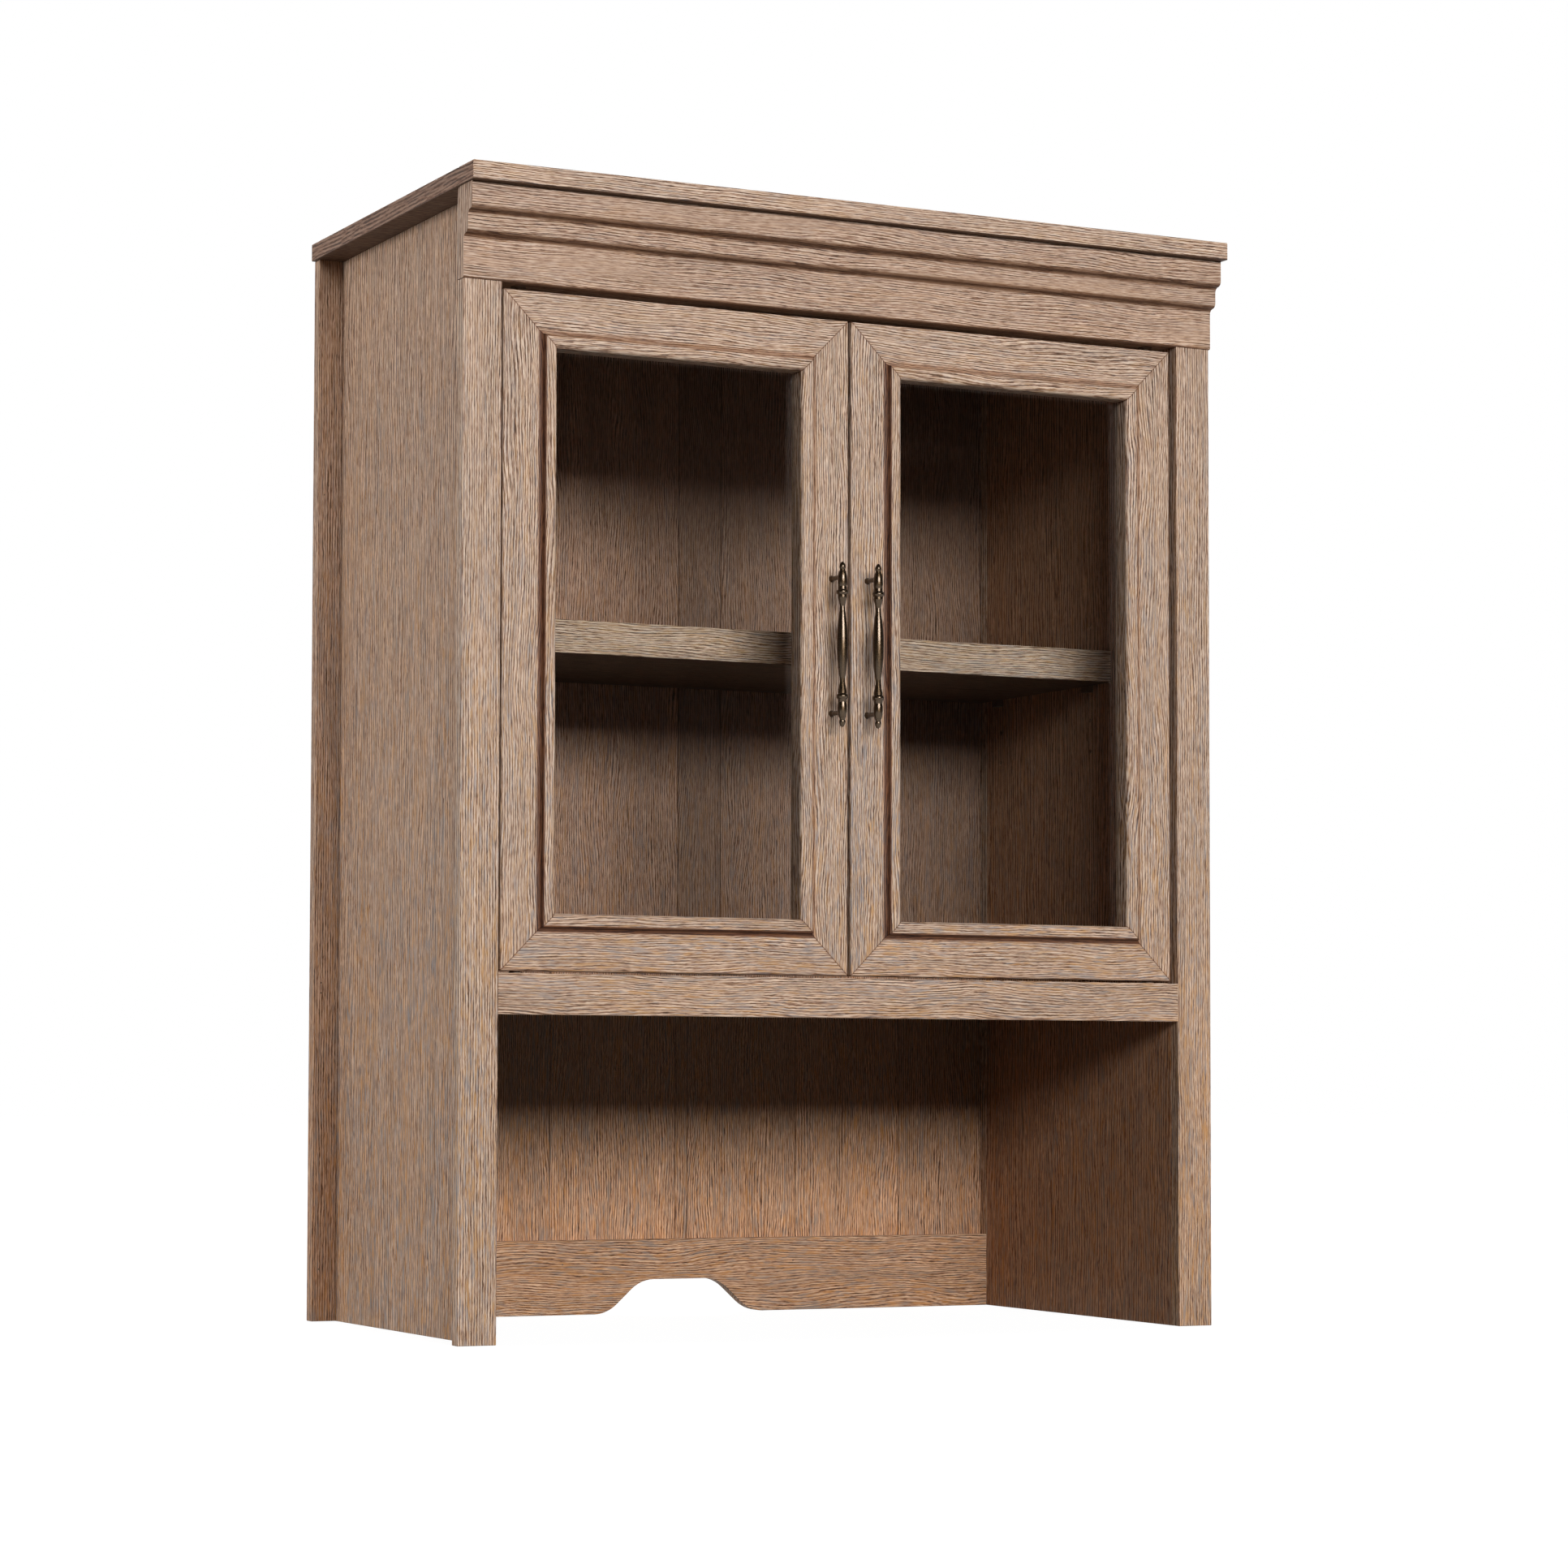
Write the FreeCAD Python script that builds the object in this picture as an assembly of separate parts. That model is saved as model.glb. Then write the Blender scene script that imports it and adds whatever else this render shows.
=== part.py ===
import FreeCAD, Part
import math
import os

Vector = FreeCAD.Vector

# Glazed two-door hutch with an open bay, made of laminated board.
# Millimetres. X runs to the right, -Y is the front, +Z is up.
# The origin is the centre of the bounding box's bottom face.

# --- overall sizes ---
height = 1067.0
top_thick = 17.0
top_front_overhang = 29.0       # top panel past the posts' front faces
top_side_overhang = 2.5         # top panel past the crown's ends
case_width = 805.0              # across the posts
case_depth = 377.0              # posts' front faces to rear stiles' back faces
back_thick = 3.0
back_inset = 2.5                # back panels in from the case's outer edges
board_arris = 0.5               # bevel along the edges of the boards that show

# --- upright members ---
post_width = 38.0
post_thick = 13.0
side_thick = 13.0

# --- crown moulding, from the top down ---
crown_side_overhang = 1.0
crown_band = 20.0
crown_ogee = 10.0
crown_bead = 10.0
crown_frieze = 35.0
crown_frieze_proud = 1.5        # frieze in front of the posts
crown_step = 9.5                # how far each ogee steps out
crown_back_round = 5.0
crown_arris = 1.0

# --- rails and floor ---
bay_height = 297.5              # open bay below the floor's front rail
floor_rail_height = 37.5
floor_rail_thick = 13.0
floor_thick = 16.0
crown_rail_thick = 16.0         # board that backs the crown between the sides
catch_rail_length = 300.0
catch_rail_thick = 16.0
catch_rail_height = 58.0
catch_rail_drop = 23.0          # catch rail below the crown's bottom edge

# --- adjustable shelf ---
shelf_thick = 32.0
shelf_depth = 256.0
shelf_back_gap = 2.0
shelf_side_gap = 1.0
shelf_height = 307.0            # shelf's underside above the cabinet floor
shelf_pin_r = 2.5
shelf_pin_depth = 8.0
shelf_pin_reach = 8.0           # how far a pin stands out under the shelf
shelf_pin_width = 10.0
shelf_pin_tall = 7.0
shelf_pin_pitch = 32.0
shelf_pin_rows = 5
shelf_pin_inset = 40.0          # pin from the shelf's front or back edge

# --- apron board with its cable cut-out ---
apron_height = 75.0
apron_thick = 13.0
cutout_height = 34.5
cutout_top_half = 29.0
cutout_r = 38.0
cutout_slope = 42.0             # steepest angle of the cut-out's sides, degrees

# --- back panels ---
back_bottom = 46.0              # lower edge of the lower back panel
back_top_inset = 5.0            # upper edge below the top panel's upper face

# --- doors ---
door_set_back = 6.0             # flat of the frame behind the posts' front faces
door_thick = 19.0
door_side_gap = 4.5
door_meeting_gap = 3.0
door_top_gap = 4.8
door_bottom_gap = 2.3
frame_width = 52.5
frame_flat = 35.5               # plain band at the frame's outside
frame_rise = 5.5                # sticking bead above the plain band
frame_arris = 2.0
sticking_top_r = 1.4
sticking_inner_r = 5.0
rabbet_width = 8.0
glass_depth = 17.0              # glass behind the sticking's front
glass_thick = 3.0
glass_gap = 1.0
glass_stop_width = 7.0

# --- pivots of the doors ---
pivot_inset = 20.0              # axis from the door's outer edge
pivot_depth = 12.5              # axis behind the door's plain band
pin_r = 3.0
pin_in_door = 30.0
pin_in_bush = 10.0
pin_collar_r = 5.0
bush_r = 5.0
bush_clearance = 0.05
bush_depth = 12.0
bush_flange_r = 7.0
bush_flange_thick = 1.2
thrust_gap = 0.1                # pin collar above the lower bush

# --- pulls ---
pull_centres = 128.0
pull_tip = 14.5                 # bar's tip beyond the leg's axis
pull_standoff = 20.5            # bar's axis in front of the plain band
pull_swell_r = 5.35
pull_neck_r = 2.5
pull_collar_r = 4.3
pull_leg_r = 2.3
pull_foot_r = 3.3
pull_foot_height = 4.0
pull_screw_r = 2.0
pull_screw_in = 6.0             # screw inside the pull's leg
pull_screw_head_r = 4.0
pull_screw_head = 2.4
screw_hole_gap = 0.3

# --- magnetic catches ---
magnet_r = 6.0
magnet_length = 13.0
magnet_proud = 3.0
magnet_offset = 45.0            # from the hutch's middle
magnet_drop = 14.0              # below the crown's bottom edge
strike_r = 7.0
strike_thick = 0.8

# --- fasteners of the case ---
dowel_r = 4.0
dowel_short = 8.0               # in the face of a thin board
dowel_long = 18.0               # in the edge of a board
small_dowel_r = 3.0
cam_r = 7.5
cam_depth = 10.5
cam_back_set = 24.0             # cam's centre from the joint
cam_slot = 2.0
cam_bolt_r = 3.0
cam_bore_r = 3.5
cam_thread_r = 2.5
cam_thread = 9.0
cam_edge_inset = 60.0           # cam from the board's front or back edge
nail_r = 0.9
nail_length = 16.0
nail_head_r = 2.5
nail_head = 0.5
nail_edge = 5.0                 # nail from the back panel's edge
nail_columns = 4
nail_rows = 4
crown_screw_r = 2.0
crown_screw_length = 24.0
crown_screw_head_r = 3.6
crown_screw_head = 2.0
crown_screw_count = 4
crown_screw_inset = 73.0        # end screws from the side panels

# --- places worked out from the sizes above ---
overall_depth = top_front_overhang + case_depth + back_thick
front = top_front_overhang - overall_depth / 2   # posts' front faces
back = front + case_depth                        # rear stiles' back faces
post_out = case_width / 2
crown_end = post_out + crown_side_overhang
top_end = crown_end + top_side_overhang
side_in = post_out - post_width
side_out = side_in + side_thick
side_mid = (side_in + side_out) / 2
side_front = front + post_thick
side_back = back - post_thick
under_top = height - top_thick
crown_bottom = under_top - crown_band - 2 * crown_ogee - crown_bead - crown_frieze
floor_top = bay_height + floor_rail_height
floor_bottom = floor_top - floor_thick
crown_rail_back = side_front + crown_rail_thick
shelf_bottom = floor_top + shelf_height
shelf_back = back - shelf_back_gap
shelf_front = shelf_back - shelf_depth

door_face = front + door_set_back
door_back = door_face + door_thick
door_out = side_in - door_side_gap
door_in = door_meeting_gap / 2
door_bottom = floor_top + door_bottom_gap
door_top = crown_bottom - door_top_gap
door_mid = (door_bottom + door_top) / 2
sticking_face = door_face - frame_rise
glass_front = sticking_face + glass_depth
pivot_x = door_out - pivot_inset
pivot_y = door_face + pivot_depth
pull_x = door_in + frame_flat / 2
pull_y = door_face - pull_standoff

nodes = {}


def block(x0, x1, y0, y1, z0, z1):
    """Box between two corners."""
    return Part.makeBox(x1 - x0, y1 - y0, z1 - z0, Vector(x0, y0, z0))


def board(x0, x1, y0, y1, z0, z1):
    """Box between two corners with a small bevel along every edge."""
    blank = block(x0, x1, y0, y1, z0, z1)
    return blank.makeChamfer(board_arris, blank.Edges)


def rod(radius, start, end):
    """Cylinder from one point to another."""
    axis = end.sub(start)
    return Part.makeCylinder(radius, axis.Length, start, axis)


def mirrored(shape):
    """The same shape on the other side of the hutch."""
    return shape.mirror(Vector(0, 0, 0), Vector(1, 0, 0))


def drilled(shape, tools):
    """Shape with every tool cut out of it."""
    return shape.cut(Part.makeCompound(tools)) if tools else shape


def spread(first, last, count):
    """Evenly spaced values, both ends included."""
    return [first + (last - first) * i / (count - 1) for i in range(count)]


def ogee(start, end):
    """Two tangent arcs that leave and arrive vertically, in the YZ plane."""
    middle = (start + end) * 0.5
    edges = []
    for a, b, corner in ((start, middle, start), (middle, end, end)):
        half_y = abs(b.y - a.y)
        half_z = abs(b.z - a.z)
        r = (half_y ** 2 + half_z ** 2) / (2 * half_y)
        side = 1 if corner is start else -1
        centre = Vector(corner.x, corner.y + side * r, corner.z)
        chord = (a + b) * 0.5 - centre
        edges.append(Part.Arc(a, centre + chord * (r / chord.Length), b).toShape())
    return edges


# --- crown moulding: one stepped profile along the whole front ---
frieze_y = front - crown_frieze_proud
bead_y = frieze_y - crown_step
band_y = bead_y - crown_step
frieze_top = crown_bottom + crown_frieze
bead_bottom = frieze_top + crown_ogee
bead_top = bead_bottom + crown_bead
band_bottom = bead_top + crown_ogee


def crown_profile():
    """Band, ogee, bead, ogee and frieze, closed along the back."""
    x = -crown_end
    corner = crown_back_round * (1 - math.sqrt(0.5))
    band_top = Vector(x, band_y, under_top)
    edges = [Part.makeLine(band_top, Vector(x, band_y, band_bottom))]
    edges += ogee(Vector(x, band_y, band_bottom), Vector(x, bead_y, bead_top))
    edges.append(Part.makeLine(Vector(x, bead_y, bead_top), Vector(x, bead_y, bead_bottom)))
    edges += ogee(Vector(x, bead_y, bead_bottom), Vector(x, frieze_y, frieze_top))
    arris = Vector(x, frieze_y, crown_bottom + crown_arris)
    sill = Vector(x, frieze_y + crown_arris, crown_bottom)
    edges.append(Part.makeLine(Vector(x, frieze_y, frieze_top), arris))
    edges.append(Part.makeLine(arris, sill))
    edges.append(Part.makeLine(sill, Vector(x, side_front, crown_bottom)))
    round_low = Vector(x, side_front, under_top - crown_back_round)
    round_top = Vector(x, side_front - crown_back_round, under_top)
    edges.append(Part.makeLine(Vector(x, side_front, crown_bottom), round_low))
    middle = Vector(x, side_front - corner, under_top - corner)
    edges.append(Part.Arc(round_low, middle, round_top).toShape())
    edges.append(Part.makeLine(round_top, band_top))
    return Part.Face(Part.Wire(edges))


crown = crown_profile().extrude(Vector(2 * crown_end, 0, 0))

# --- case boards ---
top_panel = board(-top_end, top_end, front - top_front_overhang, back, under_top, height)
post = board(-post_out, -side_in, front, side_front, 0, crown_bottom)
side = board(-side_out, -side_in, side_front, side_back, 0, under_top)
rear_stile = board(-post_out, -side_in, side_back, back, 0, under_top)
floor_rail_back = front + floor_rail_thick
floor_rail = board(-side_in, side_in, front, floor_rail_back, bay_height, floor_top)
floor = block(-side_in, side_in, floor_rail_back, back, floor_bottom, floor_top)
crown_rail = block(-side_in, side_in, side_front, crown_rail_back, crown_bottom, under_top)
catch_bottom = crown_bottom - catch_rail_drop
catch_rail = board(-catch_rail_length / 2, catch_rail_length / 2, crown_rail_back,
                   crown_rail_back + catch_rail_thick, catch_bottom,
                   catch_bottom + catch_rail_height)
shelf_half = side_in - shelf_side_gap
shelf = board(-shelf_half, shelf_half, shelf_front, shelf_back, shelf_bottom,
              shelf_bottom + shelf_thick)
back_half = post_out - back_inset
back_joint = floor_top - floor_thick / 2
back_top = height - back_top_inset
lower_back = block(-back_half, back_half, back, back + back_thick, back_bottom, back_joint)
upper_back = block(-back_half, back_half, back, back + back_thick, back_joint, back_top)


def cutout_face(y):
    """Cable cut-out: a flat top with a reverse curve down each side."""
    slope = math.radians(cutout_slope)
    turn = cutout_r * (1 - math.cos(slope))
    run = cutout_r * math.sin(slope)
    straight = (cutout_height - 2 * turn) / math.sin(slope)
    half = slope / 2
    sag = Vector(cutout_r * math.sin(half), 0, -cutout_r * (1 - math.cos(half)))
    top = Vector(cutout_top_half, y, cutout_height)
    bend = top + Vector(run, 0, -turn)
    foot = bend + Vector(straight * math.cos(slope), 0, -straight * math.sin(slope))
    end = foot + Vector(run, 0, -turn)
    side_edges = [Part.Arc(top, top + sag, bend).toShape(), Part.makeLine(bend, foot),
                  Part.Arc(foot, end - sag, end).toShape()]
    edges = side_edges + [edge.mirror(Vector(0, 0, 0), Vector(1, 0, 0)) for edge in side_edges]
    flip = Vector(-top.x, y, cutout_height)
    edges.append(Part.makeLine(flip, top))
    edges.append(Part.makeLine(end, Vector(-end.x, y, end.z)))
    return Part.Face(Part.Wire(Part.__sortEdges__(edges)))


apron = board(-side_in, side_in, back - apron_thick, back, 0, apron_height)
apron = apron.cut(cutout_face(back - apron_thick).extrude(Vector(0, apron_thick, 0)))

# --- dowels: posts and stiles to sides, rails to floor, sides and stiles ---
dowels = []
dowel_post_heights = spread(bay_height / 2, (floor_top + crown_bottom) / 2, 2)
for z in dowel_post_heights:
    for seat, into_board, into_edge in ((side_front, -dowel_short, dowel_long),
                                        (side_back, dowel_short, -dowel_long)):
        dowels.append(rod(dowel_r, Vector(-side_mid, seat + into_board, z),
                          Vector(-side_mid, seat + into_edge, z)))
crown_rail_mid = side_front + crown_rail_thick / 2
dowels.append(rod(dowel_r, Vector(-side_in - dowel_short, crown_rail_mid, frieze_top),
                  Vector(-side_in + dowel_long, crown_rail_mid, frieze_top)))
apron_mid = back - apron_thick / 2
dowels.append(rod(small_dowel_r, Vector(-side_in - dowel_long, apron_mid, apron_height / 2),
                  Vector(-side_in + dowel_long, apron_mid, apron_height / 2)))
floor_mid = floor_top - floor_thick / 2
for x in (-side_in / 2, 0):
    dowels.append(rod(dowel_r, Vector(x, floor_rail_back - dowel_short, floor_mid),
                      Vector(x, floor_rail_back + dowel_long, floor_mid)))
dowels += [mirrored(dowel) for dowel in dowels if dowel.CenterOfMass.x < -dowel_r]

# --- cam fasteners: sides to top, floor to sides ---
cams = []
cam_bolts = []
cam_cuts = []
cam_rows = [side_front + cam_edge_inset, side_back - cam_edge_inset]


def cam_set(joint, into_board, face, out_of_face):
    """Cam disc in one board's face, bolt from the mating board.

    joint is the bolt's place where the boards meet, into_board points along
    the bolt into the cam's board, face is the disc's centre on that board's
    face and out_of_face is the face's normal.
    """
    bottom = face - out_of_face * cam_depth
    centre = joint + into_board * cam_back_set
    disc = rod(cam_r, bottom, face)
    bore = rod(cam_bore_r, joint, centre)
    slot_axis = into_board.cross(out_of_face)
    slot_size = Vector(*[abs(c) for c in slot_axis * 2 * cam_r + into_board * cam_slot
                         + out_of_face * cam_slot])
    slot = Part.makeBox(slot_size.x, slot_size.y, slot_size.z, face - slot_size * 0.5)
    cams.append(disc.cut(Part.makeCompound([bore, slot])))
    thread = rod(cam_thread_r, joint - into_board * cam_thread, joint)
    cam_bolts.append(thread.fuse(rod(cam_bolt_r, joint, centre)))
    cam_cuts.extend([disc, bore, thread])


for y in cam_rows:
    cam_set(Vector(-side_mid, y, under_top), Vector(0, 0, -1),
            Vector(-side_in, y, under_top - cam_back_set), Vector(1, 0, 0))
    cam_set(Vector(-side_in, y, floor_mid), Vector(1, 0, 0),
            Vector(-side_in + cam_back_set, y, floor_bottom), Vector(0, 0, -1))
cams += [mirrored(cam) for cam in cams]
cam_bolts += [mirrored(bolt) for bolt in cam_bolts]
cam_cuts += [mirrored(cut) for cut in cam_cuts]

# --- shelf pins in their rows of holes ---
pin_rows_y = [shelf_front + shelf_pin_inset, shelf_back - shelf_pin_inset]
pin_z = shelf_bottom - shelf_pin_tall / 2
lowest_row = pin_z - shelf_pin_pitch * (shelf_pin_rows // 2)
shelf_pins = []
pin_holes = []
for y in pin_rows_y:
    for row in range(shelf_pin_rows):
        z = lowest_row + row * shelf_pin_pitch
        pin_holes.append(rod(shelf_pin_r, Vector(-side_in - shelf_pin_depth, y, z),
                             Vector(-side_in, y, z)))
    peg = rod(shelf_pin_r, Vector(-side_in - shelf_pin_depth, y, pin_z),
              Vector(-side_in, y, pin_z))
    ledge = block(-side_in, -side_in + shelf_pin_reach, y - shelf_pin_width / 2,
                  y + shelf_pin_width / 2, pin_z - shelf_pin_tall / 2, shelf_bottom)
    shelf_pins.append(peg.fuse(ledge))
shelf_pins += [mirrored(pin) for pin in shelf_pins]

# --- nails of the two back panels ---
nails = []
nail_holes = []
nail_x = back_half - nail_edge
nail_places = [(x, z) for x in spread(-nail_x, nail_x, nail_columns)
               for z in (back_bottom + nail_edge, back_joint - nail_edge,
                         back_joint + nail_edge, back_top - nail_edge)]
nail_places += [(x, z) for x in (-nail_x, nail_x)
                for z in spread(back_joint + nail_edge, back_top - nail_edge, nail_rows)[1:-1]]
for x, z in nail_places:
    face = Vector(x, back + back_thick, z)
    shank = rod(nail_r, face - Vector(0, nail_length, 0), face)
    sink = rod(nail_head_r, face - Vector(0, nail_head, 0), face)
    nails.append(shank.fuse(sink))
    nail_holes += [shank, sink]

# --- screws that hold the crown to its backing rail ---
crown_screws = []
crown_screw_x = side_in - crown_screw_inset
for x in spread(-crown_screw_x, crown_screw_x, crown_screw_count):
    z = crown_bottom + crown_frieze / 2
    head = Vector(x, crown_rail_back, z)
    sunk = head - Vector(0, crown_screw_head, 0)
    cone = Part.makeCone(crown_screw_r, crown_screw_head_r, crown_screw_head, sunk,
                         Vector(0, 1, 0))
    shank = rod(crown_screw_r, head - Vector(0, crown_screw_length, 0), sunk)
    crown_screws.append(cone.fuse(shank))

# --- pivot bushes and magnets ---
bushes = []
bush_holes = []
for seat, out_of_board in ((crown_bottom, -1), (floor_top, 1)):
    mouth = Vector(-pivot_x, pivot_y, seat)
    out = Vector(0, 0, out_of_board)
    barrel = rod(bush_r, mouth - out * bush_depth, mouth)
    flange = rod(bush_flange_r, mouth, mouth + out * bush_flange_thick)
    bore = rod(pin_r + bush_clearance, mouth - out * bush_depth, mouth + out * bush_flange_thick)
    bushes.append(barrel.fuse(flange).cut(bore))
    bush_holes.append(barrel)
bushes += [mirrored(bush) for bush in bushes]
bush_holes += [mirrored(hole) for hole in bush_holes]

magnet_z = crown_bottom - magnet_drop
magnets = [rod(magnet_r, Vector(x, crown_rail_back - magnet_proud, magnet_z),
               Vector(x, crown_rail_back - magnet_proud + magnet_length, magnet_z))
           for x in (-magnet_offset, magnet_offset)]

case_cuts = dowels + cam_cuts
nodes["top_panel"] = drilled(top_panel, cam_cuts + nail_holes)
nodes["crown_moulding"] = drilled(crown, crown_screws)
nodes["crown_backing_rail"] = drilled(crown_rail, dowels + crown_screws + bush_holes)
nodes["catch_rail"] = drilled(catch_rail, magnets)
nodes["cabinet_floor"] = drilled(floor, case_cuts + nail_holes + bush_holes)
nodes["floor_front_rail"] = drilled(floor_rail, dowels)
nodes["adjustable_shelf"] = shelf
nodes["upper_back_panel"] = drilled(upper_back, nail_holes)
nodes["lower_back_panel"] = drilled(lower_back, nail_holes)
nodes["apron_board"] = drilled(apron, dowels + nail_holes)
for hand, place in (("left", lambda shape: shape), ("right", mirrored)):
    nodes[hand + "_front_post"] = drilled(place(post), dowels)
    nodes[hand + "_side_panel"] = drilled(place(side), case_cuts + [place(h) for h in pin_holes])
    nodes[hand + "_rear_stile"] = drilled(place(rear_stile), dowels + nail_holes)
nodes["dowels"] = Part.makeCompound(dowels)
nodes["cam_discs"] = Part.makeCompound(cams)
nodes["cam_bolts"] = Part.makeCompound(cam_bolts)
nodes["shelf_pins"] = Part.makeCompound(shelf_pins)
nodes["back_nails"] = Part.makeCompound(nails)
nodes["crown_screws"] = Part.makeCompound(crown_screws)
nodes["pivot_bushes"] = Part.makeCompound(bushes)
nodes["catch_magnets"] = Part.makeCompound(magnets)


# --- door frame: four moulded members, mitred at the corners ---
def frame_section():
    """Section across a member: u inwards from the door's edge, y to the back."""
    lip = frame_width - rabbet_width
    cove_r = frame_rise - sticking_top_r
    bead_start = frame_flat + cove_r
    flat_end = frame_width - sticking_inner_r
    diagonal = math.sqrt(0.5)

    def corner(centre_u, centre_y, r, u_side, y_side):
        return Vector(centre_u + u_side * r * diagonal, centre_y + y_side * r * diagonal, 0)

    points = {
        "back_out": Vector(0, door_back, 0),
        "edge": Vector(0, door_face + frame_arris, 0),
        "band_start": Vector(frame_arris, door_face, 0),
        "band_end": Vector(frame_flat, door_face, 0),
        "cove_top": Vector(bead_start, door_face - cove_r, 0),
        "bead_top": Vector(bead_start + sticking_top_r, sticking_face, 0),
        "bead_end": Vector(flat_end, sticking_face, 0),
        "inner": Vector(frame_width, sticking_face + sticking_inner_r, 0),
        "inner_back": Vector(frame_width, glass_front, 0),
        "rabbet": Vector(lip, glass_front, 0),
        "rabbet_back": Vector(lip, door_back, 0),
    }
    arcs = {
        ("edge", "band_start"): corner(frame_arris, door_face + frame_arris, frame_arris, -1, -1),
        ("band_end", "cove_top"): corner(frame_flat, door_face - cove_r, cove_r, 1, 1),
        ("cove_top", "bead_top"): corner(bead_start + sticking_top_r,
                                         sticking_face + sticking_top_r, sticking_top_r, -1, -1),
        ("bead_end", "inner"): corner(flat_end, sticking_face + sticking_inner_r,
                                      sticking_inner_r, 1, -1),
    }
    names = list(points)
    edges = []
    for a, b in zip(names, names[1:] + names[:1]):
        middle = arcs.get((a, b))
        if middle is None:
            edges.append(Part.makeLine(points[a], points[b]))
        else:
            edges.append(Part.Arc(points[a], middle, points[b]).toShape())
    return Part.Face(Part.Wire(edges))


def stop_section():
    """Square strip that holds the glass in its rabbet."""
    start = frame_width - rabbet_width
    low = glass_front + glass_thick
    corners = [Vector(start, low, 0), Vector(start + glass_stop_width, low, 0),
               Vector(start + glass_stop_width, door_back, 0), Vector(start, door_back, 0)]
    return Part.Face(Part.makePolygon(corners + corners[:1]))


def mitred_members(section):
    """Hinge stile, top rail, meeting stile and bottom rail of the left door."""
    wide = door_out - door_in
    tall = door_top - door_bottom
    members = []
    for turn, length, corner in ((0, tall, Vector(-door_out, 0, door_bottom)),
                                 (90, wide, Vector(-door_out, 0, door_top)),
                                 (180, tall, Vector(-door_in, 0, door_top)),
                                 (270, wide, Vector(-door_in, 0, door_bottom))):
        bar = section.extrude(Vector(0, 0, length))
        deep = bar.BoundBox
        outline = [Vector(0, deep.YMin, 0), Vector(frame_width, deep.YMin, frame_width),
                   Vector(frame_width, deep.YMin, length - frame_width),
                   Vector(0, deep.YMin, length)]
        keep = Part.Face(Part.makePolygon(outline + outline[:1])).extrude(
            Vector(0, deep.YLength, 0))
        member = bar.common(keep)
        member.rotate(Vector(0, 0, 0), Vector(0, 1, 0), turn)
        member.translate(corner)
        members.append(member)
    return members


# --- door pull: a turned bar on two legs ---
def pull_profile():
    """Half section of the turned bar: one end above its middle, then the same below.

    Each entry is where a stretch ends, as a height from the leg's axis and a
    radius, and how far the stretch bows out.
    """
    ring_r = pull_collar_r - 1.4
    leg_z = pull_centres / 2
    stretches = (
        (7.9, ring_r, 1.2),                     # finial
        (7.2, ring_r - 0.4, 0.0),
        (5.2, ring_r, 0.0),                     # ring below the finial
        (5.0, ring_r + 0.5, 0.0),
        (-9.4, pull_collar_r - 0.2, 0.8),       # barrel over the leg
        (-12.2, pull_collar_r + 0.2, 0.0),      # small bead
        (-17.4, pull_collar_r, 1.3),            # collar
        (-19.8, pull_collar_r, 0.0),            # small bead
        (-28.0, pull_neck_r, 0.0),              # cone to the neck
        (-32.0, pull_neck_r + 0.2, 0.0),
    )
    tip = Vector(0, 0, leg_z + pull_tip)
    here = tip
    edges = []
    for z, r, bow in stretches:
        there = Vector(r, 0, leg_z + z)
        if bow:
            run = there - here
            normal = Vector(-run.z, 0, run.x)
            normal.normalize()
            middle = (here + there) * 0.5 + normal * bow
            edges.append(Part.Arc(here, middle, there).toShape())
        else:
            edges.append(Part.makeLine(here, there))
        here = there
    swell = Part.Arc(here, Vector(pull_swell_r, 0, 0), Vector(here.x, 0, -here.z)).toShape()
    lower = [edge.mirror(Vector(0, 0, 0), Vector(0, 0, 1)) for edge in edges]
    axis = Part.makeLine(Vector(0, 0, -tip.z), tip)
    return Part.Face(Part.Wire(Part.__sortEdges__(edges + [swell] + lower + [axis])))


def door_pull():
    """Turned bar with its legs, drilled for the screws."""
    bar = pull_profile().revolve(Vector(0, 0, 0), Vector(0, 0, 1), 360)
    bar.translate(Vector(-pull_x, pull_y, door_mid))
    tools = []
    for z in (door_mid - pull_centres / 2, door_mid + pull_centres / 2):
        foot = Vector(-pull_x, door_face, z)
        leg = rod(pull_leg_r, Vector(-pull_x, pull_y, z), foot)
        flare = Part.makeCone(pull_leg_r, pull_foot_r, pull_foot_height,
                              foot - Vector(0, pull_foot_height, 0), Vector(0, 1, 0))
        bar = bar.fuse(leg).fuse(flare)
        tools.append(rod(pull_screw_r, foot - Vector(0, pull_screw_in, 0), foot))
    return drilled(bar, tools)


pull_screws = []
pull_screw_holes = []
for z in (door_mid - pull_centres / 2, door_mid + pull_centres / 2):
    behind = Vector(-pull_x, door_back, z)
    tip = Vector(-pull_x, door_face - pull_screw_in, z)
    shank = rod(pull_screw_r, tip, behind)
    pull_screws.append(shank.fuse(rod(pull_screw_head_r, behind,
                                      behind + Vector(0, pull_screw_head, 0))))
    pull_screw_holes.append(rod(pull_screw_r + screw_hole_gap,
                                Vector(-pull_x, door_face, z), behind))

pivot_top = Vector(-pivot_x, pivot_y, door_top)
pivot_bottom = Vector(-pivot_x, pivot_y, door_bottom)
upper_pin = rod(pin_r, pivot_top - Vector(0, 0, pin_in_door),
                Vector(-pivot_x, pivot_y, crown_bottom + pin_in_bush))
collar_bottom = Vector(-pivot_x, pivot_y, floor_top + bush_flange_thick + thrust_gap)
lower_pin = rod(pin_r, Vector(-pivot_x, pivot_y, floor_top - pin_in_bush),
                pivot_bottom + Vector(0, 0, pin_in_door))
lower_pin = lower_pin.fuse(rod(pin_collar_r, collar_bottom, pivot_bottom))
pivot_pins = [upper_pin, lower_pin]

strike = rod(strike_r, Vector(-magnet_offset, door_back, magnet_z),
             Vector(-magnet_offset, door_back + strike_thick, magnet_z))

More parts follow.
